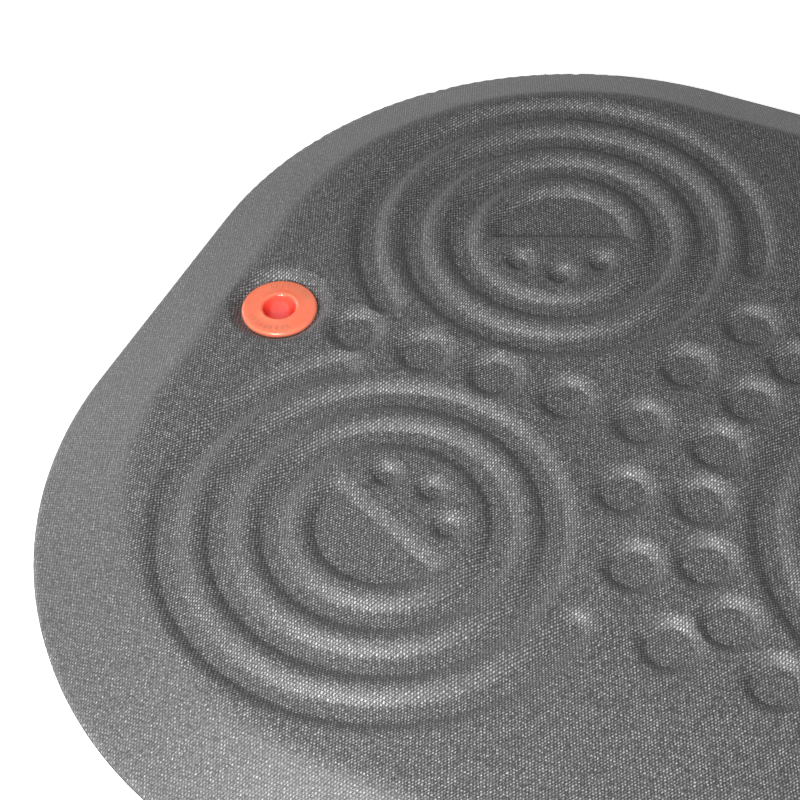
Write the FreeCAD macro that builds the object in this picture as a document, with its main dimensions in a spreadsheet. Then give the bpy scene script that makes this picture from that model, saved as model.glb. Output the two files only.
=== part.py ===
"""Relief-moulded balance pad with a hanging eyelet, as a FreeCAD document.

Frame: millimetres, +Z up, origin at the centre of the underside.
+X runs along the pad's length, and the eyelet is at the -X end.
"""
import FreeCAD, Part
import math
import os
import Sketcher

V = FreeCAD.Vector

# Driving dimensions: alias, value in millimetres or degrees, meaning.
DIMENSIONS = [
    ("half_length", 287.5, "outline, centre to end"),
    ("half_width", 180.0, "outline, centre to side"),
    ("corner_radius", 137.5, "outline corner"),
    ("pad_height", 18.0, "underside to plateau"),
    ("rim_height", 3.6, "underside to the top of the thin edge"),
    ("bevel_run", 30.0, "plan width of the sloping border"),
    ("shoulder_radius", 7.0, "rounding where the slope meets the plateau"),
    ("cover_gauge", 0.8, "knit cover"),
    ("base_gauge", 1.2, "grip sheet"),
    ("core_top", 8.0, "top of the core foam"),
    ("set_x", 167.2, "corner ring sets, along the length"),
    ("set_y", 68.5, "corner ring sets, across the width"),
    ("ring_radius", 35.0, "innermost groove's centre line"),
    ("ring_pitch", 16.0, "from one groove to the next"),
    ("groove_floor", 6.4, "flat width of a groove's floor"),
    ("wall_run", 2.4, "plan width of a sloping wall"),
    ("relief_depth", 2.8, "depth of every recess"),
    ("arc_middle", 238.7, "direction of the middle of the open outer groove"),
    ("arc_span", 222.0, "sweep of the open outer groove"),
    ("moon_radius", 23.0, "half-moon recess"),
    ("moon_turn", 67.3, "direction from the half-moon to its dimples"),
    ("dimple_circle", 18.6, "small dimples' distance from the set's centre"),
    ("dimple_step", 48.0, "angle between small dimples"),
    ("dimple_floor", 2.6, "small dimple's floor radius"),
    ("dot_floor", 6.7, "dot's floor radius"),
    ("dot_circle", 86.4, "closed circle of dots around the centre"),
    ("dot_pitch", 25.1, "spacing of the row of dots on the long axis"),
    ("eyelet_x", 240.8, "eyelet, centre to the pad's centre"),
    ("flange_radius", 12.8, "eyelet flange and locking ring"),
    ("flange_gauge", 2.2, "flange thickness"),
    ("flange_sink", 1.6, "flange top below the plateau"),
    ("recess_radius", 18.4, "rim of the recess around the eyelet"),
    ("bore_radius", 5.3, "clear hole through the eyelet"),
    ("tube_radius", 7.2, "outside of the eyelet's tube"),
    ("tube_foot", 0.6, "height of the tube's lower end"),
    ("lip_radius", 0.8, "rounded mouth of the bore"),
    ("hole_gap", 0.2, "clearance around the tube and the ring"),
    ("ring_foot", 0.3, "height of the locking ring's underside"),
    ("ring_gauge", 2.0, "locking ring thickness"),
    ("bead_height", 0.4, "snap bead on the tube"),
]
CIRCLE_DOTS = 24
ROW_DOTS = 5
GROOVES = 3
# Share of a skin's thickness by which a recess widens, so that its sloping wall keeps the gauge.
SKIN_GROWTH = 0.4
# How far the blocks that split the layers reach past the outline, as a factor.
SLAB_MARGIN = 1.1
# The outer dots either side of the row, in ring pitches from the centre.
OUTER_DOTS = [(6.65, 1.75), (5.85, 3.35), (4.65, 4.7)]

doc = FreeCAD.newDocument("balance_pad")


def make_sheet():
    """Write the driving dimensions to the spreadsheet."""
    sheet = doc.addObject("Spreadsheet::Sheet", "dims")
    for row, (alias, value, meaning) in enumerate(DIMENSIONS, start=1):
        sheet.set(f"A{row}", meaning)
        sheet.set(f"B{row}", str(value))
        sheet.setAlias(f"B{row}", alias)
    doc.recompute()
    return sheet


sheet = make_sheet()


def new_body(name):
    body = doc.addObject("PartDesign::Body", name)
    body.Label = name
    return body


def origin_item(body, role):
    return next(item for item in body.Origin.OriginFeatures if item.Role == role)


def new_sketch(body, name, plane, at, turn=None):
    """A sketch on an origin plane of the body, placed and turned by expressions."""
    sketch = body.newObject("Sketcher::SketchObject", name)
    sketch.AttachmentSupport = (origin_item(body, plane), [""])
    sketch.MapMode = "FlatFace"
    spin_axis = V(0, 1, 0) if plane == "XZ_Plane" else V(0, 0, 1)
    sketch.AttachmentOffset = FreeCAD.Placement(V(), FreeCAD.Rotation(spin_axis, 10))
    for axis, expression in zip("xyz", at):
        sketch.setExpression(f"AttachmentOffset.Base.{axis}", expression)
    sketch.setExpression("AttachmentOffset.Rotation.Angle", turn or "0")
    return sketch


def bind(sketch, name, constraint, expression):
    """Add a dimension to a sketch and drive it from the sheet."""
    index = sketch.addConstraint(constraint)
    sketch.renameConstraint(index, name)
    sketch.setExpression(f"Constraints.{name}", expression)


def outline_sketch(body, name, height, inset):
    """The pad's rounded rectangle at a height, drawn in by an inset."""
    sketch = new_sketch(body, name, "XY_Plane", ("0", "0", height))
    half_x, half_y, radius = sheet.half_length, sheet.half_width, sheet.corner_radius
    flat_x, flat_y = half_x - radius, half_y - radius
    for turn, (sx, sy) in enumerate([(1, 1), (-1, 1), (-1, -1), (1, -1)]):
        corner = Part.Circle(V(sx * flat_x, sy * flat_y, 0), V(0, 0, 1), radius)
        start = turn * math.pi / 2
        sketch.addGeometry(Part.ArcOfCircle(corner, start, start + math.pi / 2))
    ends = [((flat_x, half_y), (-flat_x, half_y)), ((-half_x, flat_y), (-half_x, -flat_y)),
            ((-flat_x, -half_y), (flat_x, -half_y)), ((half_x, -flat_y), (half_x, flat_y))]
    for (x0, y0), (x1, y1) in ends:
        sketch.addGeometry(Part.LineSegment(V(x0, y0, 0), V(x1, y1, 0)))
    for arc in range(4):
        line = arc + 4
        sketch.addConstraint(Sketcher.Constraint("Tangent", arc, 2, line, 1))
        sketch.addConstraint(Sketcher.Constraint("Tangent", line, 2, (arc + 1) % 4, 1))
    sketch.addConstraint(Sketcher.Constraint("Horizontal", 4))
    sketch.addConstraint(Sketcher.Constraint("Vertical", 5))
    for arc in range(1, 4):
        sketch.addConstraint(Sketcher.Constraint("Equal", 0, arc))
    sketch.addConstraint(Sketcher.Constraint("Symmetric", 0, 3, 2, 3, -1, 1))
    bind(sketch, "flat_x", Sketcher.Constraint("DistanceX", -1, 1, 0, 3, flat_x),
         "dims.half_length - dims.corner_radius")
    bind(sketch, "flat_y", Sketcher.Constraint("DistanceY", -1, 1, 0, 3, flat_y),
         "dims.half_width - dims.corner_radius")
    bind(sketch, "radius", Sketcher.Constraint("Radius", 0, radius),
         f"dims.corner_radius - ({inset})")
    return sketch


def circle_sketch(body, name, height, radius, x="-dims.eyelet_x"):
    sketch = new_sketch(body, name, "XY_Plane", (x, "0", height))
    sketch.addGeometry(Part.Circle(V(), V(0, 0, 1), 5))
    sketch.addConstraint(Sketcher.Constraint("Coincident", 0, 3, -1, 1))
    bind(sketch, "radius", Sketcher.Constraint("Radius", 0, 5), radius)
    return sketch


def polygon_sketch(body, name, at, points, turn=None, plane="XZ_Plane"):
    """A closed polygon whose corners are pairs of expressions."""
    sketch = new_sketch(body, name, plane, at, turn)
    guesses = [V(sheet_value(x), sheet_value(y), 0) for x, y in points]
    count = len(points)
    for index in range(count):
        sketch.addGeometry(Part.LineSegment(guesses[index], guesses[(index + 1) % count]))
    for index in range(count):
        sketch.addConstraint(Sketcher.Constraint("Coincident", index, 2, (index + 1) % count, 1))
    for index, (x, y) in enumerate(points):
        guess = guesses[index]
        bind(sketch, f"x{index}", Sketcher.Constraint("DistanceX", -1, 1, index, 1, guess.x), x)
        bind(sketch, f"y{index}", Sketcher.Constraint("DistanceY", -1, 1, index, 1, guess.y), y)
    return sketch


def sheet_value(expression):
    """The present value of an expression, used to draw a sketch near its answer."""
    return float(getattr(sheet.evalExpression(expression), "Value", sheet.evalExpression(expression)))


def extrude(body, kind, name, sketch, length, reverse=False):
    feature = body.newObject(f"PartDesign::{kind}", name)
    feature.Profile = sketch
    feature.setExpression("Length", length)
    feature.Reversed = reverse
    doc.recompute()
    return feature


def loft(body, name, lower, upper):
    feature = body.newObject("PartDesign::AdditiveLoft", name)
    feature.Profile = lower
    feature.Sections = [upper]
    feature.Ruled = True
    doc.recompute()
    return feature


def turn_cut(body, name, sketch, angle="360"):
    """Cut the sketch away, revolved about its own upright axis."""
    feature = body.newObject("PartDesign::Groove", name)
    feature.Profile = sketch
    feature.ReferenceAxis = (sketch, ["V_Axis"])
    feature.Midplane = True
    feature.setExpression("Angle", angle)
    doc.recompute()
    return feature


def four_ways(body, name, originals):
    """Repeat features by mirroring them across both upright middle planes."""
    pattern = body.newObject("PartDesign::MultiTransform", name)
    pattern.Originals = originals
    mirrors = []
    for plane in ("XZ_Plane", "YZ_Plane"):
        mirror = body.newObject("PartDesign::Mirrored", f"{name}_{plane[:2]}")
        mirror.MirrorPlane = (origin_item(body, plane), [""])
        mirrors.append(mirror)
    pattern.Transformations = mirrors
    body.Tip = pattern
    doc.recompute()
    return pattern


def trapezoid(centre, floor_half, grow):
    """Corners of a recess's section: sloping walls, open at the top."""
    floor = f"{floor_half} + {grow}"
    rim = f"{floor_half} + dims.wall_run + {grow}"
    return [(f"{centre} - ({rim})", "0"), (f"{centre} - ({floor})", "-dims.relief_depth"),
            (f"{centre} + ({floor})", "-dims.relief_depth"), (f"{centre} + ({rim})", "0")]


def half_section(floor_half, grow):
    """Half of a round recess's section, from its axis outwards."""
    floor = f"{floor_half} + {grow}"
    rim = f"{floor_half} + dims.wall_run + {grow}"
    return [("0", "0"), ("0", "-dims.relief_depth"), (floor, "-dims.relief_depth"), (rim, "0")]


def cut_grooves(body, tag, at, top, grow, radii, turn=None, angle="360"):
    """Concentric grooves about one centre."""
    x, y = at
    features = []
    for index in radii:
        centre = f"dims.ring_radius + {index} * dims.ring_pitch"
        section = trapezoid(centre, "dims.groove_floor / 2", grow)
        sketch = polygon_sketch(body, f"{tag}_section{index}", (x, top, f"-({y})"), section, turn)
        features.append(turn_cut(body, f"{tag}_groove{index}", sketch, angle))
    return features


def cut_round(body, tag, at, top, floor_half, grow):
    """One round recess with sloping walls."""
    x, y = at
    section = half_section(floor_half, grow)
    sketch = polygon_sketch(body, f"{tag}_section", (x, top, f"-({y})"), section)
    return turn_cut(body, tag, sketch)


def cut_moon(body, tag, at, top, grow, turn):
    """The half-moon recess on the side away from the small dimples."""
    x, y = at
    sketch = new_sketch(body, f"{tag}_outline", "XY_Plane", (x, y, top), f"{turn} - 90")
    radius = sheet.moon_radius
    sketch.addGeometry(Part.ArcOfCircle(Part.Circle(V(), V(0, 0, 1), radius), math.pi, 2 * math.pi))
    sketch.addGeometry(Part.LineSegment(V(radius, 0, 0), V(-radius, 0, 0)))
    sketch.addConstraint(Sketcher.Constraint("Coincident", 0, 2, 1, 1))
    sketch.addConstraint(Sketcher.Constraint("Coincident", 1, 2, 0, 1))
    sketch.addConstraint(Sketcher.Constraint("Horizontal", 1))
    sketch.addConstraint(Sketcher.Constraint("PointOnObject", 0, 3, -2))
    bind(sketch, "chord", Sketcher.Constraint("DistanceY", -1, 1, 1, 1, 0.0), grow)
    bind(sketch, "centre", Sketcher.Constraint("DistanceY", -1, 1, 0, 3, 0.0), grow)
    bind(sketch, "radius", Sketcher.Constraint("Radius", 0, radius), f"dims.moon_radius + {grow}")
    return extrude(body, "Pocket", tag, sketch, "dims.relief_depth")


def cut_motif(body, tag, at, top, grow, turn):
    """The half-moon and its three small dimples."""
    features = [cut_moon(body, f"{tag}_moon", at, top, grow, turn)]
    x, y = at
    for step in (-1, 0, 1):
        bearing = f"({turn} + {step} * dims.dimple_step) * 1 deg"
        spot = (f"{x} + dims.dimple_circle * cos({bearing})", f"{y} + dims.dimple_circle * sin({bearing})")
        features.append(cut_round(body, f"{tag}_dimple{step + 1}", spot, top, "dims.dimple_floor", grow))
    return features


def cut_corner_sets(body, top, grow):
    """Grooves and motif of one corner set, repeated at all four corners."""
    at = ("-dims.set_x", "-dims.set_y")
    features = cut_grooves(body, "corner", at, top, grow, range(GROOVES - 1))
    features += cut_grooves(body, "open", at, top, grow, [GROOVES - 1], "dims.arc_middle", "dims.arc_span")
    outer = f"(dims.ring_radius + {GROOVES - 1} * dims.ring_pitch)"
    for side in (-1, 1):
        bearing = f"(dims.arc_middle + {side} * dims.arc_span / 2) * 1 deg"
        spot = (f"-dims.set_x + {outer} * cos({bearing})", f"-dims.set_y + {outer} * sin({bearing})")
        features.append(cut_round(body, f"open_end{side + 1}", spot, top, "dims.groove_floor / 2", grow))
    features += cut_motif(body, "corner", at, top, grow, "dims.moon_turn")
    for index, (x, y) in enumerate(OUTER_DOTS):
        spot = (f"-{x} * dims.ring_pitch", f"-{y} * dims.ring_pitch")
        features.append(cut_round(body, f"outer_dot{index}", spot, top, "dims.dot_floor", grow))
    four_ways(body, "corner_sets", features)


def cut_centre_set(body, top, grow):
    at = ("0", "0")
    cut_grooves(body, "centre", at, top, grow, range(GROOVES))
    cut_motif(body, "centre", at, top, grow, "180")


def cut_dots(body, top, grow):
    """The closed circle of dots, and the row along the long axis."""
    first = cut_round(body, "circle_dot", ("-dims.dot_circle", "0"), top, "dims.dot_floor", grow)
    circle = body.newObject("PartDesign::PolarPattern", "dot_circle")
    circle.Originals = [first]
    circle.Axis = (origin_item(body, "Z_Axis"), [""])
    circle.Angle = 360
    circle.Occurrences = CIRCLE_DOTS
    body.Tip = circle
    doc.recompute()
    start = "-dims.dot_circle - dims.dot_pitch"
    first = cut_round(body, "row_dot", (start, "0"), top, "dims.dot_floor", grow)
    pattern = body.newObject("PartDesign::MultiTransform", "dot_rows")
    pattern.Originals = [first]
    row = body.newObject("PartDesign::LinearPattern", "dot_row")
    row.Direction = (origin_item(body, "X_Axis"), [""])
    row.Reversed = True
    row.Occurrences = ROW_DOTS
    row.setExpression("Length", f"{ROW_DOTS - 1} * dims.dot_pitch")
    mirror = body.newObject("PartDesign::Mirrored", "dot_row_far")
    mirror.MirrorPlane = (origin_item(body, "YZ_Plane"), [""])
    pattern.Transformations = [row, mirror]
    body.Tip = pattern
    doc.recompute()


def cut_eyelet_seat(body, top, skin):
    """The dished seat under the flange and the hole for the tube."""
    depth = "-(dims.flange_sink + dims.flange_gauge)"
    floor = f"dims.flange_radius + dims.hole_gap + {skin} * {SKIN_GROWTH}"
    rim = f"dims.recess_radius + {skin} * {SKIN_GROWTH}"
    section = [("0", "0"), ("0", depth), (floor, depth), (rim, "0")]
    sketch = polygon_sketch(body, "seat_section", ("-dims.eyelet_x", top, "0"), section)
    turn_cut(body, "eyelet_seat", sketch)
    hole = circle_sketch(body, "tube_hole_outline", "0", "dims.tube_radius + dims.hole_gap")
    extrude(body, "Pocket", "tube_hole", hole, "dims.pad_height", reverse=True)


def relief_form(name, skin, foot):
    """The pad's upper shape with all its relief, drawn in by a skin thickness.

    The grown recesses keep the skin's gauge on their sloping walls too.
    """
    slope = "(dims.pad_height - dims.rim_height) / dims.bevel_run"
    drop = f"({skin}) * sqrt(1 + ({slope}) ^ 2)"
    top = f"dims.pad_height - ({skin})"
    shoulder_z = f"dims.rim_height - {drop} + ({skin}) * {slope}"
    top_inset = f"dims.bevel_run - ({skin}) / ({slope}) + {drop} / ({slope})"
    grow = f"{SKIN_GROWTH} * ({skin})"
    body = new_body(name)
    edge = outline_sketch(body, "edge", foot, skin)
    extrude(body, "Pad", "edge_wall", edge, f"{shoulder_z} - ({foot})")
    lower = outline_sketch(body, "slope_foot", shoulder_z, skin)
    upper = outline_sketch(body, "slope_top", top, top_inset)
    loft(body, "slope", lower, upper)
    round_shoulder(body, sheet_value(top))
    cut_corner_sets(body, top, grow)
    cut_centre_set(body, top, grow)
    cut_dots(body, top, grow)
    cut_eyelet_seat(body, top, f"({skin})")
    return body


def round_shoulder(body, height):
    """Round the plateau's outer edge."""
    slope = body.Tip
    edges = [f"Edge{index}" for index, edge in enumerate(slope.Shape.Edges, start=1)
             if min(vertex.Z for vertex in edge.Vertexes) > height - 0.01]
    fillet = body.newObject("PartDesign::Fillet", "shoulder")
    fillet.Base = (slope, edges)
    fillet.setExpression("Radius", "dims.shoulder_radius")
    doc.recompute()


def boolean(kind, name, base, tool):
    result = doc.addObject(f"Part::{kind}", name)
    result.Base = base
    result.Tool = tool
    result.Label = name
    doc.recompute()
    return result


def make_slab(name, low, high):
    """A block wider than the pad, between two heights."""
    slab = doc.addObject("Part::Box", name)
    slab.setExpression("Length", f"{2 * SLAB_MARGIN} * dims.half_length")
    slab.setExpression("Width", f"{2 * SLAB_MARGIN} * dims.half_width")
    slab.setExpression("Height", f"({high}) - ({low})")
    slab.setExpression("Placement.Base.x", f"-{SLAB_MARGIN} * dims.half_length")
    slab.setExpression("Placement.Base.y", f"-{SLAB_MARGIN} * dims.half_width")
    slab.setExpression("Placement.Base.z", low)
    return slab


def make_layers():
    """Cover and foams, split from two nested forms of the same relief."""
    outer = relief_form("outer_form", "0", "dims.base_gauge")
    inner = relief_form("inner_form", "dims.cover_gauge", "dims.base_gauge")
    top_cover = boolean("Cut", "top_cover", outer, inner)
    upper = make_slab("upper_slab", "dims.core_top", "dims.pad_height")
    lower = make_slab("lower_slab", "0", "dims.core_top")
    relief_foam = boolean("Common", "relief_foam", inner, upper)
    core_block = boolean("Common", "core_block", inner, lower)
    core_foam = boolean("Cut", "core_foam", core_block, make_cup_tool())
    return [top_cover, relief_foam, core_foam]


def make_cup_tool():
    """The space that the grip sheet's cup takes out of the core foam."""
    tool = doc.addObject("Part::Cylinder", "cup_space")
    tool.setExpression("Radius", "dims.flange_radius + 2 * dims.hole_gap + dims.base_gauge")
    tool.setExpression("Height", "dims.ring_foot + dims.ring_gauge + dims.base_gauge")
    tool.setExpression("Placement.Base.x", "-dims.eyelet_x")
    return tool


def make_base_sheet():
    """The grip sheet, cupped upwards round the locking ring."""
    body = new_body("grip_sheet")
    extrude(body, "Pad", "sheet", outline_sketch(body, "outline", "0", "0"), "dims.base_gauge")
    cup_roof = "dims.ring_foot + dims.ring_gauge"
    cup_radius = "dims.flange_radius + 2 * dims.hole_gap"
    outside = circle_sketch(body, "cup_outside", "0", f"{cup_radius} + dims.base_gauge")
    extrude(body, "Pad", "cup", outside, f"{cup_roof} + dims.base_gauge")
    inside = circle_sketch(body, "cup_inside", "0", cup_radius)
    extrude(body, "Pocket", "cup_hollow", inside, cup_roof, reverse=True)
    hole = circle_sketch(body, "tube_outline", "0", "dims.tube_radius + dims.hole_gap")
    extrude(body, "Pocket", "tube_hole", hole, "dims.pad_height", reverse=True)
    return body


def revolve_body(name, points, fillets):
    """A turned piece about the eyelet's axis, with chosen rims rounded."""
    body = new_body(name)
    sketch = polygon_sketch(body, "section", ("-dims.eyelet_x", "0", "0"), points)
    turned = body.newObject("PartDesign::Revolution", "turned")
    turned.Profile = sketch
    turned.ReferenceAxis = (sketch, ["V_Axis"])
    turned.Angle = 360
    doc.recompute()
    for index, (radius, height, rounding) in enumerate(fillets):
        target = body.Tip
        edges = [f"Edge{number}" for number, edge in enumerate(target.Shape.Edges, start=1)
                 if is_rim(edge, sheet_value(radius), sheet_value(height))]
        fillet = body.newObject("PartDesign::Fillet", f"rounding{index}")
        fillet.Base = (target, edges)
        fillet.setExpression("Radius", rounding)
        doc.recompute()
    return body


def is_rim(edge, radius, height):
    curve = edge.Curve
    if not isinstance(curve, Part.Circle):
        return False
    return abs(curve.Radius - radius) < 0.01 and abs(curve.Center.z - height) < 0.01


def make_eyelet():
    """Flange and tube in one piece, with a snap bead near the tube's foot."""
    top = "dims.pad_height - dims.flange_sink"
    under = f"{top} - dims.flange_gauge"
    bead_z = "dims.ring_foot + dims.ring_gauge / 2"
    bead = "dims.tube_radius + dims.bead_height"
    points = [("dims.bore_radius", "dims.tube_foot"), ("dims.tube_radius", "dims.tube_foot"),
              ("dims.tube_radius", f"{bead_z} - dims.bead_height"), (bead, bead_z),
              ("dims.tube_radius", f"{bead_z} + dims.bead_height"), ("dims.tube_radius", under),
              ("dims.flange_radius", under), ("dims.flange_radius", top), ("dims.bore_radius", top)]
    fillets = [("dims.bore_radius", top, "dims.lip_radius"), ("dims.flange_radius", top, "dims.lip_radius")]
    return revolve_body("eyelet", points, fillets)


def make_locking_ring():
    """Washer pushed over the tube from below, with a groove for the snap bead."""
    foot = "dims.ring_foot"
    roof = "dims.ring_foot + dims.ring_gauge"
    bore = "dims.tube_radius + dims.hole_gap / 2"
    middle = "dims.ring_foot + dims.ring_gauge / 2"
    reach = "dims.bead_height + dims.hole_gap / 2"
    points = [(bore, foot), ("dims.flange_radius", foot), ("dims.flange_radius", roof), (bore, roof),
              (bore, f"{middle} + {reach}"), (f"{bore} + dims.bead_height", middle),
              (bore, f"{middle} - ({reach})")]
    fillets = [("dims.flange_radius", foot, "dims.lip_radius / 2")]
    return revolve_body("locking_ring", points, fillets)


def write_parts(parts):
    """Check every object, then write one STEP file for each sub-part."""
    doc.recompute()
    bad = [item.Name for item in doc.Objects if {"Invalid", "Error"} & set(item.State)]
    if bad:
        raise RuntimeError(f"failed objects: {bad}")
    for part in parts:
        shape = part.Shape
        if shape.isNull() or not shape.isValid() or len(shape.Solids) != 1:
            raise RuntimeError(f"{part.Label} is not one valid solid: {len(shape.Solids)} solids")
    os.makedirs("parts", exist_ok=True)
    for part in parts:
        part.Shape.exportStep(f"parts/{part.Label}.step")
        print(f"{part.Label}: {part.Shape.Volume / 1000:.1f} cm3")


write_parts(make_layers() + [make_base_sheet(), make_eyelet(), make_locking_ring()])
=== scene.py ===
"""Looks for the relief-moulded balance pad: knit cover, foams, grip sheet and hanging eyelet.

Metres, in the row's frame. The eyelet is at the -X end. The relief is mirror-symmetric about both
upright middle planes, apart from the middle set's half-moon and dimples.
"""
import math

import bpy
import numpy as np
from mathutils import Matrix, Vector
from mathutils.geometry import delaunay_2d_cdt
from mathutils.kdtree import KDTree


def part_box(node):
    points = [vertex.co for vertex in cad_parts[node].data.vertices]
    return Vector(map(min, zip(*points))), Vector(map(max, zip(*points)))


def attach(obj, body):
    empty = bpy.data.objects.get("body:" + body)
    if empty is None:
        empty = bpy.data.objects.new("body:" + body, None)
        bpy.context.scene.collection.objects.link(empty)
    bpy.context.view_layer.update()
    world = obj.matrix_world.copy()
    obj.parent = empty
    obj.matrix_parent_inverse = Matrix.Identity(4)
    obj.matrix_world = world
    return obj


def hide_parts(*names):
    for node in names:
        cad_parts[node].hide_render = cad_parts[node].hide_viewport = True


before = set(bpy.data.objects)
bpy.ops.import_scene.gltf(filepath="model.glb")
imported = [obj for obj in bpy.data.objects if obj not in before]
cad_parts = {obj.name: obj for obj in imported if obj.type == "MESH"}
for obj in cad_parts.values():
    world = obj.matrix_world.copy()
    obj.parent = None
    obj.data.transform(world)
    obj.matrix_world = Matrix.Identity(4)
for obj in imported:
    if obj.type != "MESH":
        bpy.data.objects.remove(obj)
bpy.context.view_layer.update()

MM = 0.001

# Places and sizes read from the frame.
cover_low, cover_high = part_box("top_cover")
eyelet_low, eyelet_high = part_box("eyelet")
ring_low, ring_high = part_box("locking_ring")
HALF_LENGTH, HALF_WIDTH, PAD_HEIGHT = cover_high
COVER_FOOT = cover_low[2]
EYELET_X = (eyelet_low[0] + eyelet_high[0]) / 2
EYELET_TOP, TUBE_FOOT = eyelet_high[2], eyelet_low[2]
FLANGE_RADIUS = (eyelet_high[0] - eyelet_low[0]) / 2

# Design sizes that the frame's boxes don't show.
CORNER_RADIUS = 137.5 * MM
RIM_HEIGHT = 3.6 * MM
BEVEL_RUN = 30.0 * MM
SHOULDER_RADIUS = 7.0 * MM
EDGE_RUN, EDGE_DROP = 1.8 * MM, 1.3 * MM
CORE_TOP = 8.0 * MM
COVER_GAUGE = 0.8 * MM
RING_PITCH = 16.0 * MM
RING_RADII = [35.0 * MM, 51.0 * MM, 67.0 * MM]
SET_X, SET_Y = 167.2 * MM, 68.5 * MM
OPEN_ARC_MIDDLE, OPEN_ARC_SPAN = math.radians(238.7), math.radians(222.0)
MOON_TURN = math.radians(67.3)
RELIEF, FILLET = 2.8 * MM, 0.2
GROOVE_FLOOR, GROOVE_RIM = 2.4 * MM, 8.0 * MM
DOT_FLOOR, DOT_RIM = 6.3 * MM, 11.8 * MM
DIMPLE_CIRCLE, DIMPLE_FLOOR, DIMPLE_RIM = 18.6 * MM, 2.1 * MM, 7.0 * MM
MOON_RADIUS, MOON_FLOOR, MOON_RIM = 23.1 * MM, -1.8 * MM, 3.5 * MM
DOT_CIRCLE, DOT_PITCH, CIRCLE_DOTS, ROW_DOTS = 86.4 * MM, 25.1 * MM, 24, 5
OUTER_DOTS = [(6.65, 1.75), (5.85, 3.35), (4.65, 4.7)]
SEAT_RIM = 18.6 * MM
SEAT_DEPTH = PAD_HEIGHT - EYELET_TOP + 2.2 * MM
TUBE_RADIUS, BORE_RADIUS, HOLE_RADIUS = 7.2 * MM, 5.3 * MM, 7.4 * MM
CUP_RADIUS, SHEET_GAUGE, CUP_ROOF = 13.2 * MM, 1.2 * MM, 2.3 * MM
STUD_PITCH, STUD_DEPTH = 9.0 * MM, 0.45 * MM
STUD_FLOOR, STUD_RIM = 1.9 * MM, 2.8 * MM
CUP_WALL_RUN = 0.12 * MM
KNIT_COURSE, KNIT_ROW, KNIT_LEAN = 0.96 * MM, 0.90 * MM, 0.087


# ---------------------------------------------------------------- layout


def polar(radius, angle):
    return radius * math.cos(angle), radius * math.sin(angle)


def ring_sets():
    """(centre x, y, motif direction, direction of the open outer groove or None) for each set."""
    sets = [(0.0, 0.0, math.pi, None)]
    for sx in (-1, 1):
        for sy in (-1, 1):
            turn = math.atan2(-sy * math.sin(MOON_TURN), -sx * math.cos(MOON_TURN))
            middle = math.atan2(-sy * math.sin(OPEN_ARC_MIDDLE), -sx * math.cos(OPEN_ARC_MIDDLE))
            sets.append((sx * SET_X, sy * SET_Y, turn, middle))
    return sets


def dot_centres():
    """Closed circle of dots, the row along the long axis, and the outer dots."""
    centres = [polar(DOT_CIRCLE, math.tau * k / CIRCLE_DOTS) for k in range(CIRCLE_DOTS)]
    for sx in (-1, 1):
        centres += [(sx * (DOT_CIRCLE + (k + 1) * DOT_PITCH), 0.0) for k in range(ROW_DOTS)]
        for sy in (-1, 1):
            centres += [(sx * x * RING_PITCH, sy * y * RING_PITCH) for x, y in OUTER_DOTS]
    return centres


def dimple_centres(set_x, set_y, turn):
    """Three small dimples on a circle round the set's centre, across from its half-moon."""
    step = math.radians(48)
    spots = [polar(DIMPLE_CIRCLE, turn + k * step) for k in (-1, 0, 1)]
    return [(set_x + x, set_y + y) for x, y in spots]


SETS = ring_sets()
DOTS = dot_centres()
DIMPLES = [spot for x, y, turn, _ in SETS for spot in dimple_centres(x, y, turn)]


# ---------------------------------------------------------------- the pad's upper surface


def recess(distance, floor, rim):
    """How deep a recess is, from 1 on its floor to 0 at its rim: tight below, soft above."""
    t = np.clip((distance - floor) / (rim - floor), 0, 1)
    return np.where(t < FILLET, 1 - t ** 2 / FILLET, (1 - t) ** 2 / (1 - FILLET))


def inset_of(x, y):
    """Distance inwards from the pad's outline."""
    dx = np.maximum(np.abs(x) - (HALF_LENGTH - CORNER_RADIUS), 0)
    dy = np.maximum(np.abs(y) - (HALF_WIDTH - CORNER_RADIUS), 0)
    flat = np.maximum(np.abs(x) - HALF_LENGTH, np.abs(y) - HALF_WIDTH) + CORNER_RADIUS
    return CORNER_RADIUS - np.where((dx > 0) & (dy > 0), np.hypot(dx, dy), flat)


def arc_distance(x, y, centre, radius, middle):
    """Distance to a groove's centre line, which may stop short with round ends."""
    dx, dy = x - centre[0], y - centre[1]
    ring = np.abs(np.hypot(dx, dy) - radius)
    if middle is None:
        return ring
    swing = np.abs((np.arctan2(dy, dx) - middle + math.pi) % math.tau - math.pi)
    ends = [polar(radius, middle + side * OPEN_ARC_SPAN / 2) for side in (-1, 1)]
    tips = np.minimum(*[np.hypot(dx - ex, dy - ey) for ex, ey in ends])
    return np.where(swing <= OPEN_ARC_SPAN / 2, ring, tips)


def moon_distance(x, y, centre, turn):
    """Signed distance to the half-moon's outline, negative inside."""
    dx, dy = x - centre[0], y - centre[1]
    along = dx * math.cos(turn) + dy * math.sin(turn)
    return np.maximum(along, np.hypot(dx, dy) - MOON_RADIUS)


def border_height(inset):
    """Height of the plateau and its sloping border, with a soft shoulder and a rolled edge."""
    slope = (PAD_HEIGHT - RIM_HEIGHT) / BEVEL_RUN
    ramp = RIM_HEIGHT + slope * inset
    reach = SHOULDER_RADIUS * math.tan(math.atan(slope) / 2) * 2
    blend = np.clip((inset - BEVEL_RUN) / reach, -1, 1)
    rounded = PAD_HEIGHT - slope * reach * (1 - blend) ** 2 / 4
    height = np.where(blend <= -1, ramp, rounded)
    edge = np.clip(1 - inset / EDGE_RUN, 0, 1)
    return height - EDGE_DROP * edge ** 2


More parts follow.
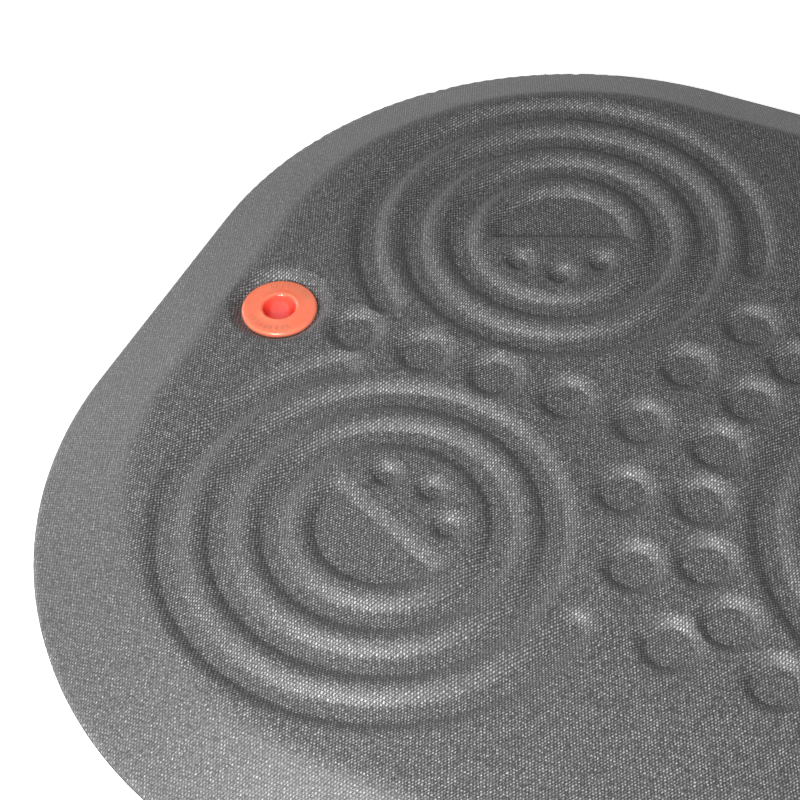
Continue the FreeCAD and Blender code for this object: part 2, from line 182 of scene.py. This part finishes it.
def unevenness(x, y):
    """The slight waviness of a hand-laid cover."""
    wave = np.sin(x * 61 + 1.3 * np.sin(y * 47)) * np.cos(y * 83 + 0.9 * np.sin(x * 39))
    ripple = np.sin(x * 190 + y * 120) * np.sin(y * 230 - x * 70)
    return 0.14 * MM * wave + 0.03 * MM * ripple


def relief_depth(x, y):
    """Depth of the deepest recess at each point, as a share of the full relief."""
    depth = np.zeros_like(x)
    for set_x, set_y, turn, middle in SETS:
        near = np.hypot(x - set_x, y - set_y) < RING_RADII[-1] + GROOVE_RIM
        px, py = x[near], y[near]
        local = np.zeros_like(px)
        for index, radius in enumerate(RING_RADII):
            opening = middle if index == len(RING_RADII) - 1 else None
            distance = arc_distance(px, py, (set_x, set_y), radius, opening)
            local = np.maximum(local, recess(distance, GROOVE_FLOOR, GROOVE_RIM))
        moon = moon_distance(px, py, (set_x, set_y), turn)
        local = np.maximum(local, recess(moon, MOON_FLOOR, MOON_RIM))
        depth[near] = np.maximum(depth[near], local)
    for spots, floor, rim in ((DOTS, DOT_FLOOR, DOT_RIM), (DIMPLES, DIMPLE_FLOOR, DIMPLE_RIM)):
        for cx, cy in spots:
            near = np.hypot(x - cx, y - cy) < rim
            local = recess(np.hypot(x[near] - cx, y[near] - cy), floor, rim)
            depth[near] = np.maximum(depth[near], local)
    return depth


def surface_height(x, y):
    """Height of the cover's face."""
    inset = inset_of(x, y)
    height = border_height(inset) + unevenness(x, y) * np.clip(inset / (20 * MM), 0, 1)
    height -= RELIEF * relief_depth(x, y)
    seat = recess(np.hypot(x - EYELET_X, y), FLANGE_RADIUS, SEAT_RIM)
    return height - SEAT_DEPTH * seat


def surface_normals(x, y):
    """Upward normals of the cover's face, by central differences."""
    step = 0.1 * MM
    gx = (surface_height(x + step, y) - surface_height(x - step, y)) / (2 * step)
    gy = (surface_height(x, y + step) - surface_height(x, y - step)) / (2 * step)
    normals = np.stack([-gx, -gy, np.ones_like(gx)], axis=1)
    return normals / np.linalg.norm(normals, axis=1)[:, None]


# ---------------------------------------------------------------- mesh points


class PointCloud:
    """Plan points that keep a least distance from each other."""

    def __init__(self, gap):
        self.gap = gap
        self.cells = {}
        self.points = []

    def free(self, x, y, gap):
        reach = math.ceil(gap / self.gap)
        cx, cy = math.floor(x / self.gap), math.floor(y / self.gap)
        for ix in range(cx - reach, cx + reach + 1):
            for iy in range(cy - reach, cy + reach + 1):
                for px, py in self.cells.get((ix, iy), ()):
                    if (px - x) ** 2 + (py - y) ** 2 < gap ** 2:
                        return False
        return True

    def add(self, x, y, gap=None):
        if self.free(x, y, gap or self.gap):
            cell = (math.floor(x / self.gap), math.floor(y / self.gap))
            self.cells.setdefault(cell, []).append((x, y))
            self.points.append((x, y))

    def add_circle(self, cx, cy, radius, spacing, keep=None):
        count = max(6, round(math.tau * radius / spacing))
        for k in range(count):
            angle = math.tau * k / count
            x, y = polar(radius, angle)
            if keep is None or keep(cx + x, cy + y):
                self.add(cx + x, cy + y)


def outline_loop(inset, spacing):
    """Points round the outline, drawn in by an inset."""
    radius = CORNER_RADIUS - inset
    flat_x, flat_y = HALF_LENGTH - CORNER_RADIUS, HALF_WIDTH - CORNER_RADIUS
    arc_steps = max(8, round(math.pi / 2 * radius / spacing))
    loop = []
    for turn, (sx, sy) in enumerate([(1, 1), (-1, 1), (-1, -1), (1, -1)]):
        for k in range(arc_steps + 1):
            x, y = polar(radius, math.pi / 2 * (turn + k / arc_steps))
            loop.append((sx * flat_x + x, sy * flat_y + y))
        run = 2 * (flat_x if turn % 2 == 0 else flat_y)
        steps = max(2, round(run / spacing))
        (x0, y0) = loop[-1]
        dx, dy = [(-1, 0), (0, -1), (1, 0), (0, 1)][turn]
        loop += [(x0 + dx * run * k / steps, y0 + dy * run * k / steps) for k in range(1, steps)]
    return loop


def add_border(cloud, density):
    rows = [0.5, 1.1, 1.9, 4, 8, 12, 16, 20, 24, 26.6, 27.8, 28.9, 30, 31.1, 32.2, 33.4, 35.5, 38]
    for row in rows:
        for x, y in outline_loop(row * MM, 4.2 * MM * density):
            cloud.add(x, y)


def add_set(cloud, set_x, set_y, turn, density):
    """Points on both walls of each groove and of the half-moon."""
    wall_offsets = [0.8, 2.4, 2.95, 3.5, 4.4, 5.4, 6.6, 8]
    offsets = [-offset for offset in reversed(wall_offsets)] + wall_offsets
    for radius in RING_RADII:
        for offset in offsets:
            cloud.add_circle(set_x, set_y, radius + offset * MM, 2.4 * MM * density)
    for wall in (-1.8, -1.3, -0.75, -0.1, 0.65, 1.5, 2.45, 3.5):
        rim = MOON_RADIUS + wall * MM

        def beyond(x, y, wall=wall):
            along = (x - set_x) * math.cos(turn) + (y - set_y) * math.sin(turn)
            return along <= wall * MM

        cloud.add_circle(set_x, set_y, rim, 1.6 * MM * density, keep=beyond)
        half_chord = math.sqrt(rim ** 2 - (wall * MM) ** 2)
        steps = round(2 * half_chord / (1.6 * MM * density))
        for k in range(steps + 1):
            across = half_chord * (2 * k / steps - 1)
            x = wall * MM * math.cos(turn) - across * math.sin(turn)
            y = wall * MM * math.sin(turn) + across * math.cos(turn)
            cloud.add(set_x + x, set_y + y)


def add_round(cloud, spots, radii, spacing):
    for cx, cy in spots:
        for radius in radii:
            cloud.add_circle(cx, cy, radius * MM, spacing * MM)


def cover_points(density):
    """Plan points, dense on every wall and sparse on the flats. Density above 1 is coarser."""
    cloud = PointCloud(0.55 * MM * density)
    for x, y in outline_loop(0, 4.2 * MM):
        cloud.add(x, y)
    for radius in (HOLE_RADIUS, 10 * MM, FLANGE_RADIUS):
        cloud.add_circle(EYELET_X, 0, radius, 1.6 * MM)
    for radius in (13.4, 14.0, 14.7, 15.4, 16.1, 16.9, 17.8, 18.8, 20):
        cloud.add_circle(EYELET_X, 0, radius * MM, 2.0 * MM * density)
    add_round(cloud, DOTS, (2.8, 5.0, 6.3, 6.85, 7.4, 8.1, 8.9, 9.8, 10.8, 11.8), 1.6 * density)
    add_round(cloud, DIMPLES, (0.1, 1.1, 2.1, 2.6, 3.1, 3.7, 4.4, 5.2, 6.0, 7.0), 0.95 * density)
    for set_x, set_y, turn, _ in SETS:
        add_set(cloud, set_x, set_y, turn, density)
    add_border(cloud, density)
    pitch = 3.6 * MM * density
    for row in range(round(2 * HALF_WIDTH / (pitch * 0.866))):
        for column in range(round(2 * HALF_LENGTH / pitch)):
            x = -HALF_LENGTH + (column + 0.5 * (row % 2)) * pitch
            y = -HALF_WIDTH + row * pitch * 0.866
            if inset_of(np.array(x), np.array(y)) > 20 * MM:
                cloud.add(x, y, 0.62 * pitch)
    return cloud.points


def triangulate(points):
    """Delaunay triangles of the plan points, without the eyelet's hole."""
    verts, _, faces, *_ = delaunay_2d_cdt([Vector(p) for p in points], [], [], 0, 1e-7)
    plan = np.array([tuple(v) for v in verts])
    triangles = np.array(faces)
    middle = plan[triangles].mean(axis=1)
    on_hole = np.hypot(plan[:, 0] - EYELET_X, plan[:, 1]) < HOLE_RADIUS + 0.01 * MM
    in_hole = on_hole[triangles].all(axis=1)
    inside = inset_of(middle[:, 0], middle[:, 1]) > 0.0
    return plan, triangles[~in_hole & inside]


def boundary_edges(triangles):
    """Directed edges that belong to one triangle only."""
    edges = np.concatenate([triangles[:, [0, 1]], triangles[:, [1, 2]], triangles[:, [2, 0]]])
    seen = {tuple(edge) for edge in edges.tolist()}
    return [edge for edge in seen if (edge[1], edge[0]) not in seen]


def new_object(name, verts, faces, material):
    """A mesh object with one material, linked to the scene."""
    mesh = bpy.data.meshes.new(name)
    mesh.from_pydata([tuple(v) for v in verts], [], [tuple(f) for f in faces])
    mesh.update()
    mesh.materials.append(material)
    piece = bpy.data.objects.new(name, mesh)
    bpy.context.scene.collection.objects.link(piece)
    return piece


def shade_smooth(piece, normals=None):
    """Smooth shading, with exact vertex normals where they are known."""
    piece.data.polygons.foreach_set("use_smooth", [True] * len(piece.data.polygons))
    if normals is not None:
        piece.data.normals_split_custom_set_from_vertices([tuple(n) for n in normals])


def closed_shell(name, plan, triangles, top, under, material):
    """A mesh between two heights over the same plan. Returns it and the plan points it uses."""
    x, y = plan[:, 0], plan[:, 1]
    count = len(plan)
    verts = np.concatenate([np.stack([x, y, top], 1), np.stack([x, y, under], 1)])
    faces = triangles.tolist() + (triangles[:, ::-1] + count).tolist()
    for a, b in boundary_edges(triangles):
        faces.append((b, a, a + count, b + count))
    used = np.unique(triangles)
    remap = np.full(2 * count, -1)
    kept = np.concatenate([used, used + count])
    remap[kept] = np.arange(len(kept))
    piece = new_object(name, verts[kept], [[int(remap[i]) for i in f] for f in faces], material)
    return piece, used


def skin(name, plan, triangles, drop, foot, material):
    """A closed shell under the cover's face: the face lowered by drop, closed below by foot."""
    normals = surface_normals(plan[:, 0], plan[:, 1])
    top = surface_height(plan[:, 0], plan[:, 1]) - drop / np.maximum(normals[:, 2], 0.6)
    under = foot(plan[:, 0], plan[:, 1], normals, top)
    piece, used = closed_shell(name, plan, triangles, top, under, material)
    shade_smooth(piece, np.concatenate([normals[used], -normals[used]]))
    return piece


# ---------------------------------------------------------------- materials


class Nodes:
    """Short calls for building a node tree."""

    def __init__(self, name):
        self.material = bpy.data.materials.new(name)
        self.material.use_nodes = True
        self.tree = self.material.node_tree
        self.shader = self.tree.nodes["Principled BSDF"]

    def node(self, kind, **values):
        made = self.tree.nodes.new(kind)
        for key, value in values.items():
            setattr(made, key, value)
        return made

    def link(self, source, target):
        self.tree.links.new(source, target)

    def feed(self, socket, value):
        if isinstance(value, bpy.types.NodeSocket):
            self.link(value, socket)
        else:
            socket.default_value = value

    def math(self, operation, first, second=0.0, third=0.0):
        made = self.node("ShaderNodeMath", operation=operation)
        for socket, value in zip(made.inputs, (first, second, third)):
            self.feed(socket, value)
        return made.outputs[0]

    def length(self, first, second):
        return self.math("SQRT", self.math("ADD", self.math("MULTIPLY", first, first),
                                           self.math("MULTIPLY", second, second)))

    def ramp(self, value, low, high, to_low=0.0, to_high=1.0):
        made = self.node("ShaderNodeMapRange", interpolation_type="SMOOTHSTEP")
        for socket, number in zip(made.inputs, (value, low, high, to_low, to_high)):
            self.feed(socket, number)
        return made.outputs[0]

    def mix(self, share, first, second):
        made = self.node("ShaderNodeMix", data_type="RGBA")
        self.feed(made.inputs[0], share)
        self.feed(made.inputs[6], first)
        self.feed(made.inputs[7], second)
        return made.outputs[2]

    def border(self):
        """1 on the pad's sloping border and 0 on its plateau."""
        parts = self.node("ShaderNodeSeparateXYZ")
        self.link(self.place(), parts.inputs[0])
        beyond = []
        for axis, half in (("X", HALF_LENGTH), ("Y", HALF_WIDTH)):
            off = self.math("ABSOLUTE", parts.outputs[axis])
            beyond.append(self.math("MAXIMUM", self.math("SUBTRACT", off, half - CORNER_RADIUS)))
        line = CORNER_RADIUS - BEVEL_RUN
        return self.ramp(self.length(*beyond), line - 1.5 * MM, line + 1.5 * MM)

    def place(self):
        return self.node("ShaderNodeTexCoord").outputs["Object"]

    def jitter(self, reach, scale):
        """Object coordinates, each pushed about by up to half of reach."""
        made = self.node("ShaderNodeTexNoise")
        self.link(self.place(), made.inputs["Vector"])
        made.inputs["Scale"].default_value = scale
        made.inputs["Detail"].default_value = 1.0
        centred = self.node("ShaderNodeVectorMath", operation="SUBTRACT")
        self.link(made.outputs["Color"], centred.inputs[0])
        centred.inputs[1].default_value = (0.5, 0.5, 0.5)
        scaled = self.node("ShaderNodeVectorMath", operation="SCALE")
        self.link(centred.outputs[0], scaled.inputs[0])
        scaled.inputs["Scale"].default_value = reach
        pushed = self.node("ShaderNodeVectorMath", operation="ADD")
        self.link(self.place(), pushed.inputs[0])
        self.link(scaled.outputs[0], pushed.inputs[1])
        return pushed.outputs[0]

    def noise(self, scale, detail=2.0):
        made = self.node("ShaderNodeTexNoise")
        self.link(self.place(), made.inputs["Vector"])
        made.inputs["Scale"].default_value = scale
        made.inputs["Detail"].default_value = detail
        return made.outputs["Fac"]

    def bump(self, height, distance, strength):
        made = self.node("ShaderNodeBump")
        made.inputs["Distance"].default_value = distance
        made.inputs["Strength"].default_value = strength
        self.link(height, made.inputs["Height"])
        return made.outputs["Normal"]


def knit_material():
    """Fine knit: staggered dark pores between yarns, bright stitch crowns of random strength
    (partly painted glints), and a sloping border painted darker as painted shade.
    """
    n = Nodes("knit")
    parts = n.node("ShaderNodeSeparateXYZ")
    n.link(n.jitter(0.42 * MM, 700.0), parts.inputs[0])
    drift = n.math("SUBTRACT", n.noise(450.0, 1.0), 0.5)
    knit_x = n.math("MULTIPLY_ADD", drift, 0.35 * MM, parts.outputs["X"])
    knit_y = n.math("MULTIPLY_ADD", drift, 0.55 * MM, parts.outputs["Y"])
    across = n.math("DIVIDE", knit_y, KNIT_ROW)
    row = n.math("FLOOR", across)
    stagger = n.math("MULTIPLY", n.math("FLOORED_MODULO", row, 2.0), 0.5)
    leaning = n.math("MULTIPLY_ADD", knit_y, -KNIT_LEAN, knit_x)
    along = n.math("ADD", n.math("DIVIDE", leaning, KNIT_COURSE), stagger)
    course = n.math("FLOOR", along)
    dx = n.math("SUBTRACT", n.math("SUBTRACT", along, course), 0.5)
    dy = n.math("SUBTRACT", n.math("SUBTRACT", across, row), 0.5)
    side = n.math("SUBTRACT", n.math("ABSOLUTE", dx), 0.5)
    pore = n.ramp(n.length(side, dy), 0.48, 0.12)
    gap = n.ramp(n.math("ABSOLUTE", dy), 0.18, 0.5, 0.0, 0.85)
    border = n.border()
    ease = n.math("MULTIPLY_ADD", border, -0.25, 1.0)
    dent = n.math("MULTIPLY", n.math("MAXIMUM", pore, gap), ease)
    # Bright stitch crowns painted into the colour: partly the yarn's own lighter tone, partly
    # painted glints, with a random strength per stitch.
    crown = n.ramp(n.length(dx, dy), 0.42, 0.06)
    cell = n.node("ShaderNodeCombineXYZ")
    n.link(course, cell.inputs[0])
    n.link(row, cell.inputs[1])
    chance = n.node("ShaderNodeTexWhiteNoise", noise_dimensions="2D")
    n.link(cell.outputs[0], chance.inputs["Vector"])
    sparkle = n.math("MULTIPLY_ADD", n.math("POWER", chance.outputs["Value"], 3.0), 1.0, 0.12)
    body = n.math("MULTIPLY_ADD", n.math("MULTIPLY", crown, ease), sparkle, 0.33)
    tone = n.ramp(n.noise(1300.0, 2.0), 0.3, 0.7, 0.4, 1.6)
    # Random tone, times painted shade: the sloping border is painted 29% darker to stand in for
    # how the light falls on it.
    tone_and_border_shade = n.math("MULTIPLY", tone, n.math("MULTIPLY_ADD", border, -0.29, 1.0))
    lit = n.math("MULTIPLY", n.math("MULTIPLY", body, tone_and_border_shade), n.math("SUBTRACT", 1.0, dent))
    colour = n.mix(lit, (0.010, 0.010, 0.010, 1), (0.395, 0.392, 0.397, 1))
    n.link(colour, n.shader.inputs["Base Color"])
    n.link(n.ramp(dent, 0.0, 1.0, 0.48, 0.75), n.shader.inputs["Roughness"])
    n.shader.inputs["Specular IOR Level"].default_value = 0.8
    n.shader.inputs["Sheen Weight"].default_value = 0.12
    n.shader.inputs["Sheen Roughness"].default_value = 0.4
    n.link(n.bump(n.math("SUBTRACT", crown, dent), 0.05 * MM, 0.6), n.shader.inputs["Normal"])
    return n.material


def foam_material(name, dark, light, cell_scale):
    """Closed-cell foam: fine open pores on a cut face."""
    n = Nodes(name)
    cells = n.node("ShaderNodeTexVoronoi", feature="DISTANCE_TO_EDGE")
    n.link(n.place(), cells.inputs["Vector"])
    cells.inputs["Scale"].default_value = cell_scale
    wall = n.ramp(cells.outputs["Distance"], 0.02, 0.25)
    shade = n.math("MULTIPLY", wall, n.ramp(n.noise(60.0), 0.3, 0.7, 0.75, 1.0))
    n.link(n.mix(shade, light, dark), n.shader.inputs["Base Color"])
    n.shader.inputs["Roughness"].default_value = 0.85
    n.link(n.bump(n.math("SUBTRACT", 1.0, wall), 0.2 * MM, 0.5), n.shader.inputs["Normal"])
    return n.material


def grip_material():
    """Matt rubber with a fine grain and slight dust."""
    n = Nodes("grip_rubber")
    dust = n.ramp(n.noise(25.0, 4.0), 0.35, 0.75)
    n.link(n.mix(dust, (0.022, 0.022, 0.024, 1), (0.040, 0.040, 0.042, 1)),
           n.shader.inputs["Base Color"])
    n.link(n.ramp(n.noise(90.0), 0.3, 0.7, 0.62, 0.8), n.shader.inputs["Roughness"])
    n.link(n.bump(n.noise(1800.0, 3.0), 0.1 * MM, 0.5), n.shader.inputs["Normal"])
    return n.material


def plastic_material():
    """Orange moulded plastic, slightly uneven in gloss, with the bore's inside painted deeper red
    as painted shade and painted inter-reflection.
    """
    n = Nodes("eyelet_plastic")
    swirl = n.ramp(n.noise(120.0, 3.0), 0.3, 0.7)
    moulded = n.mix(swirl, (0.92, 0.210, 0.120, 1), (0.95, 0.235, 0.138, 1))
    parts = n.node("ShaderNodeSeparateXYZ")
    n.link(n.place(), parts.inputs[0])
    from_axis = n.length(n.math("SUBTRACT", parts.outputs["X"], EYELET_X), parts.outputs["Y"])
    # Inside the bore the colour turns deeper red: painted shade and painted inter-reflection, not
    # a colour of its own.
    bore_painted_shade = n.ramp(from_axis, BORE_RADIUS + 0.7 * MM, BORE_RADIUS + 0.1 * MM)
    n.link(n.mix(bore_painted_shade, moulded, (0.97, 0.105, 0.070, 1)), n.shader.inputs["Base Color"])
    n.link(n.ramp(n.noise(500.0, 4.0), 0.3, 0.7, 0.10, 0.16), n.shader.inputs["Roughness"])
    n.shader.inputs["Specular IOR Level"].default_value = 0.5
    n.shader.inputs["Subsurface Weight"].default_value = 0.5
    n.shader.inputs["Subsurface Radius"].default_value = (4 * MM, 1.2 * MM, 0.6 * MM)
    n.shader.inputs["Subsurface Scale"].default_value = 1.0
    n.link(n.bump(n.noise(900.0, 3.0), 0.02 * MM, 0.25), n.shader.inputs["Normal"])
    return n.material


def floor_material():
    """Pale matt floor with a glow of its own."""
    n = Nodes("floor")
    tone = n.ramp(n.noise(3.0), 0.3, 0.7)
    n.link(n.mix(tone, (0.90, 0.90, 0.90, 1), (0.92, 0.92, 0.92, 1)),
           n.shader.inputs["Base Color"])
    n.shader.inputs["Roughness"].default_value = 0.9
    n.shader.inputs["Emission Color"].default_value = (1, 1, 1, 1)
    n.shader.inputs["Emission Strength"].default_value = 0.75
    return n.material


# ---------------------------------------------------------------- pieces


def make_cover(material):
    """The knit cover, a thin closed shell over the relief."""
    plan, triangles = triangulate(cover_points(1.1))

    def foot(x, y, normals, top):
        lowered = top - COVER_GAUGE / np.maximum(normals[:, 2], 0.6)
        return np.where(inset_of(x, y) < 0.3 * MM, COVER_FOOT, np.maximum(lowered, COVER_FOOT))

    piece = skin("knit_cover", plan, triangles, 0.0, foot, material)
    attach(piece, "root")
    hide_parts("top_cover")
    return piece


def make_relief_foam(material):
    """The moulded upper foam, which fills the cover down to the core."""
    plan, triangles = triangulate(cover_points(2.2))

    def foot(x, y, normals, top):
        return np.minimum(np.full_like(x, CORE_TOP), top)

    keep = inset_of(*plan[triangles].mean(axis=1).T) > 12 * MM
    piece = skin("upper_foam", plan, triangles[keep], COVER_GAUGE + 0.3 * MM, foot, material)
    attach(piece, "root")
    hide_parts("relief_foam")
    return piece


def stud_centres():
    """Staggered grid of the small hollows under the grip sheet."""
    row_step = STUD_PITCH * math.sqrt(3) / 2
    centres = []
    for row in range(-round(HALF_WIDTH / row_step), round(HALF_WIDTH / row_step) + 1):
        for column in range(-round(HALF_LENGTH / STUD_PITCH), round(HALF_LENGTH / STUD_PITCH) + 1):
            x, y = (column + 0.5 * (row % 2)) * STUD_PITCH, row * row_step
            clear_of_edge = inset_of(np.array(x), np.array(y)) > 9 * MM
            if clear_of_edge and math.hypot(x - EYELET_X, y) > CUP_RADIUS + 8 * MM:
                centres.append((x, y))
    return centres


def make_grip_sheet(material):
    """The rubber sheet underneath, cupped round the locking ring and hollowed in a fine grid."""
    studs = stud_centres()
    cloud = PointCloud(0.08 * MM)
    for inset, spacing in ((0, 4.2), (0.4, 4.2), (1.0, 4.2), (3.5, 5)):
        for x, y in outline_loop(inset * MM, spacing * MM):
            cloud.add(x, y)
    outer_cup = CUP_RADIUS + SHEET_GAUGE
    for radius in (HOLE_RADIUS, CUP_RADIUS - CUP_WALL_RUN, CUP_RADIUS,
                   outer_cup - CUP_WALL_RUN, outer_cup, 19 * MM):
        cloud.add_circle(EYELET_X, 0, radius, 1.6 * MM)
    for cx, cy in studs:
        cloud.add(cx, cy)
        cloud.add_circle(cx, cy, STUD_FLOOR, 1.9 * MM)
        cloud.add_circle(cx, cy, STUD_RIM, 2.6 * MM)
    plan, triangles = triangulate(cloud.points)
    x, y = plan[:, 0], plan[:, 1]
    rounding = 0.5 * MM * np.clip(1 - inset_of(x, y) / (1.0 * MM), 0, 1) ** 2
    from_eyelet = np.hypot(x - EYELET_X, y)
    grid = KDTree(len(studs))
    for k, (cx, cy) in enumerate(studs):
        grid.insert((cx, cy, 0), k)
    grid.balance()
    to_hollow = np.array([grid.find((px, py, 0))[2] for px, py in plan])
    in_hollow = to_hollow < (STUD_FLOOR + STUD_RIM) / 2
    under = np.where(in_hollow, STUD_DEPTH, rounding)
    under = np.where(from_eyelet < CUP_RADIUS - CUP_WALL_RUN / 2, CUP_ROOF, under)
    in_cup = from_eyelet < outer_cup - CUP_WALL_RUN / 2
    top = np.where(in_cup, CUP_ROOF + SHEET_GAUGE, SHEET_GAUGE)
    piece, _ = closed_shell("grip_underside", plan, triangles, top, under, material)
    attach(piece, "root")
    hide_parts("grip_sheet")
    return piece


def lathe(name, profile, steps, material):
    """A closed profile of (radius, height) turned about the eyelet's axis."""
    count = len(profile)
    verts, faces = [], []
    for step in range(steps):
        angle = math.tau * step / steps
        for radius, height in profile:
            x, y = polar(radius, angle)
            verts.append((EYELET_X + x, y, height))
    for step in range(steps):
        here, there = step * count, (step + 1) % steps * count
        for k in range(count):
            after = (k + 1) % count
            faces.append((here + k, there + k, there + after, here + after))
    return new_object(name, verts, faces, material)


def round_corner(cx, cz, radius, start, stop, steps=6):
    """Points on an arc of a profile, angles in degrees."""
    angles = [math.radians(start + (stop - start) * k / steps) for k in range(steps + 1)]
    return [(cx + radius * math.cos(a), cz + radius * math.sin(a)) for a in angles]


def make_eyelet(material):
    """Flange and tube, with a rolled lip round the bore and raised tick marks."""
    lip, rim, heel = 1.2 * MM, 1.0 * MM, 0.4 * MM
    top, under = EYELET_TOP, EYELET_TOP - 2.2 * MM
    bead_z = (ring_low[2] + ring_high[2]) / 2
    bead = 0.4 * MM
    profile = [(BORE_RADIUS, TUBE_FOOT), (TUBE_RADIUS, TUBE_FOOT), (TUBE_RADIUS, bead_z - bead),
               (TUBE_RADIUS + bead, bead_z), (TUBE_RADIUS, bead_z + bead),
               (TUBE_RADIUS, under), (FLANGE_RADIUS - heel, under)]
    profile += round_corner(FLANGE_RADIUS - heel, under + heel, heel, -90, 0, 3)
    profile += round_corner(FLANGE_RADIUS - rim, top - 0.25 * MM - rim, rim, 0, 80, 8)
    profile += [(FLANGE_RADIUS - 2.6 * MM, top - 0.28 * MM),
                (BORE_RADIUS + 3.2 * MM, top - 0.3 * MM),
                (BORE_RADIUS + 2.2 * MM, top - 0.18 * MM)]
    profile += round_corner(BORE_RADIUS + lip, top - lip, lip, 75, 180, 10)
    piece = lathe("eyelet_body", profile, 96, material)
    turned = len(piece.data.polygons)
    add_ticks(piece.data, top - 0.29 * MM)
    smooth = [index < turned for index in range(len(piece.data.polygons))]
    piece.data.polygons.foreach_set("use_smooth", smooth)
    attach(piece, "root")
    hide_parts("eyelet")
    return piece


def add_ticks(mesh, base):
    """Small raised ticks on the flange, in two evenly spaced groups."""
    verts = [tuple(v.co) for v in mesh.vertices]
    faces = [tuple(f.vertices) for f in mesh.polygons]
    inner, outer, tick_height, taper = 9.0 * MM, 10.9 * MM, 0.10 * MM, 0.75
    half_turn = 0.28 / 10.3
    box = [(3, 2, 1, 0), (4, 5, 6, 7), (0, 1, 5, 4), (1, 2, 6, 5), (2, 3, 7, 6), (3, 0, 4, 7)]
    levels = ((base - tick_height, 0.0, half_turn),
              (base + tick_height, tick_height, half_turn * taper))
    for side in (90, 270):
        for k in range(-4, 5):
            middle = math.radians(side + 11 * k)
            start = len(verts)
            for height, shrink, half in levels:
                for radius, turn in ((inner + shrink, -half), (outer - shrink, -half),
                                     (outer - shrink, half), (inner + shrink, half)):
                    x, y = polar(radius, middle + turn)
                    verts.append((EYELET_X + x, y, height))
            faces += [tuple(start + i for i in corners) for corners in box]
    material = mesh.materials[0]
    mesh.clear_geometry()
    mesh.from_pydata(verts, [], faces)
    mesh.update()
    mesh.materials.clear()
    mesh.materials.append(material)


def make_ring(material):
    """The locking ring under the pad, with softened rims and a groove for the snap bead."""
    low, high = ring_low[2], ring_high[2]
    middle, bore = (low + high) / 2, TUBE_RADIUS + 0.1 * MM
    lead_in, rim, groove = 0.3 * MM, 0.8 * MM, 0.5 * MM
    profile = [(bore, low + lead_in)]
    profile += round_corner(bore + lead_in, low + lead_in, lead_in, 180, 270, 3)
    profile += round_corner(FLANGE_RADIUS - rim, low + rim, rim, -90, 0, 6)
    profile += [(FLANGE_RADIUS, high), (bore, high), (bore, middle + groove),
                (bore + 0.4 * MM, middle), (bore, middle - groove)]
    piece = lathe("snap_ring", profile, 96, material)
    shade_smooth(piece)
    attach(piece, "root")
    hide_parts("locking_ring")
    return piece


# ---------------------------------------------------------------- stage


def make_floor(material):
    """A round floor that sweeps up into a low wall far away, so that no view meets its end."""
    reach, sweep, steps = 12.0, 3.0, 48
    rings = [(reach + sweep * math.sin(a), sweep * (1 - math.cos(a)))
             for a in (math.radians(12 * k) for k in range(6))]
    verts = [(*polar(radius, math.tau * k / steps), height)
             for radius, height in rings for k in range(steps)]
    faces = [tuple(range(steps))]
    for ring in range(len(rings) - 1):
        for k in range(steps):
            after = (k + 1) % steps
            faces.append((ring * steps + k, (ring + 1) * steps + k,
                          (ring + 1) * steps + after, ring * steps + after))
    floor = new_object("floor", verts, faces, material)
    shade_smooth(floor)


def make_camera():
    """The viewing angle: looking along the pad's width, a little towards its eyelet end."""
    azimuth, pitch, roll = math.radians(28.161), math.radians(48.06), math.radians(3.17)
    ahead = Vector((-math.sin(azimuth), math.cos(azimuth), 0))
    forward = ahead * math.cos(pitch) - Vector((0, 0, math.sin(pitch)))
    level = ahead.cross(Vector((0, 0, 1)))
    down = forward.cross(level)
    right = level * math.cos(roll) + down * math.sin(roll)
    up = level * math.sin(roll) - down * math.cos(roll)
    data = bpy.data.cameras.new("camera")
    data.lens = 84.4
    data.sensor_width = 36.0
    camera = bpy.data.objects.new("camera", data)
    bpy.context.scene.collection.objects.link(camera)
    place = Matrix((right, up, -forward)).transposed().to_4x4()
    mid_relief = PAD_HEIGHT - RELIEF / 2
    place.translation = Vector((3.65 * MM, -374.6 * MM, 445.3 * MM + mid_relief))
    camera.matrix_world = place
    bpy.context.scene.camera = camera


def add_light(name, place, power):
    """A square soft box, aimed at the pad's eyelet end, that isn't seen itself."""
    aim = (-0.12, -0.02, 0)
    data = bpy.data.lights.new(name, "AREA")
    data.shape = "SQUARE"
    data.size = 0.3
    data.energy = power
    light = bpy.data.objects.new(name, data)
    bpy.context.scene.collection.objects.link(light)
    light.location = place
    light.rotation_euler = (Vector(aim) - Vector(place)).to_track_quat("-Z", "Y").to_euler()
    light.visible_camera = False


def light_scene():
    """A near key above the near side and weak fills round the pad."""
    for name, place, power in (("key", (-0.100, -0.476, 0.382), 6.1),
                               ("low", (-0.289, -0.541, 0.244), 1.1),
                               ("left", (-0.820, 0.168, 0.338), 1.7),
                               ("right", (0.770, 0.140, 0.420), 1.2)):
        add_light(name, place, power)
    world = bpy.data.worlds.new("studio")
    world.use_nodes = True
    background = world.node_tree.nodes["Background"]
    background.inputs["Color"].default_value = (1, 1, 1, 1)
    background.inputs["Strength"].default_value = 0.01
    bpy.context.scene.world = world
    bpy.context.scene.view_settings.view_transform = "Standard"


# ---------------------------------------------------------------- build


make_camera()
knit = knit_material()
foam = foam_material("moulded_foam", (0.030, 0.030, 0.033, 1), (0.075, 0.075, 0.08, 1), 900.0)
core = foam_material("springy_foam", (0.045, 0.045, 0.048, 1), (0.10, 0.10, 0.105, 1), 600.0)
rubber = grip_material()
plastic = plastic_material()
make_cover(knit)
make_relief_foam(foam)
make_eyelet(plastic)
make_ring(plastic)
make_grip_sheet(rubber)
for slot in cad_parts["core_foam"].material_slots:
    slot.material = core
make_floor(floor_material())
light_scene()
